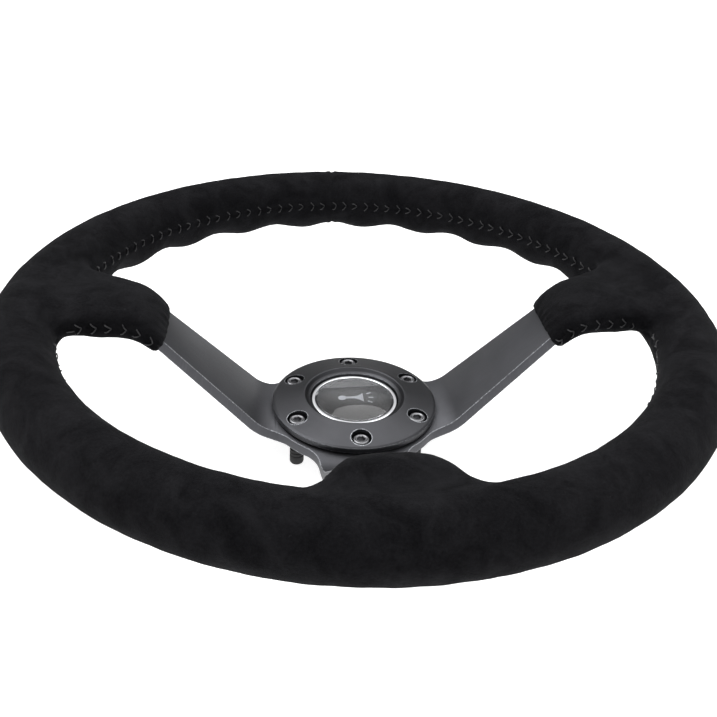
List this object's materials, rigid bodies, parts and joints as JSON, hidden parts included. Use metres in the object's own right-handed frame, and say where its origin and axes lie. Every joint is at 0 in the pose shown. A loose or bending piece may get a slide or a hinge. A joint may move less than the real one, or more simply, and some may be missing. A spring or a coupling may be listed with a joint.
{
  "type": "dished steering wheel",
  "caption": "Deep-dished three-spoke competition steering wheel with a suede grip, a bolted hub ring and a sprung horn button.",
  "frame": {"origin": "on the wheel's own axis, level with the lowest point of the six hub screw caps that it lies on", "axes": "+Z along the steering axis towards the driver; +Y to twelve o'clock; +X to three o'clock as the driver sees it"},
  "size_m": [0.35, 0.35, 0.0908],
  "materials": {
    "anodised_plate": "black anodised, fine brushed grain, satin",
    "anodised_ring": "black anodised, turned, satin",
    "zinc_steel": "zinc plated",
    "foam": "moulded urethane foam, open skin",
    "suede": "black suede, short soft nap",
    "thread": "waxed black thread",
    "black_steel": "black oxide, slightly oily",
    "black_rubber": "matt",
    "black_plastic": "moulded, fine texture",
    "chrome_trim": "polished",
    "badge_foil": "satin foil",
    "resin_dome": "clear over black, polished",
    "contact_brass": "plain",
    "spring_steel": "bright drawn wire"
  },
  "bodies": {
    "wheel": {"spoke_plate": "anodised_plate", "core_hoop": "zinc_steel", "spoke_rivet_1": "zinc_steel", "spoke_rivet_2": "zinc_steel", "spoke_rivet_3": "zinc_steel", "spoke_rivet_4": "zinc_steel", "spoke_rivet_5": "zinc_steel", "spoke_rivet_6": "zinc_steel", "rim_foam": "foam", "suede_cover": "suede", "lacing_upper": "thread", "lacing_lower_left": "thread", "lacing_lower_right": "thread", "hub_ring": "anodised_ring", "hub_screw_1": "black_steel", "hub_screw_2": "black_steel", "hub_screw_3": "black_steel", "hub_screw_4": "black_steel", "hub_screw_5": "black_steel", "hub_screw_6": "black_steel", "screw_cap_1": "black_rubber", "screw_cap_2": "black_rubber", "screw_cap_3": "black_rubber", "screw_cap_4": "black_rubber", "screw_cap_5": "black_rubber", "screw_cap_6": "black_rubber", "horn_cup": "black_plastic", "contact_stud": "contact_brass", "contact_nut": "zinc_steel", "ground_plate": "contact_brass", "ground_rivet": "contact_brass", "live_terminal": "contact_brass", "ground_terminal": "contact_brass", "return_spring": "spring_steel"},
    "horn_button": {"button_body": "black_plastic", "button_trim_ring": "chrome_trim", "button_badge": "badge_foil", "button_lens": "resin_dome", "moving_contact": "contact_brass"}
  },
  "joints": [
    {"name": "horn_press", "type": "slide", "parent": "wheel", "child": "horn_button", "axis": [0, 0, -1], "range_m": [0, 0.0025], "stiffness_N_per_m": 2000, "springref_m": -0.002, "deforming": ["return_spring"]}
  ]
}
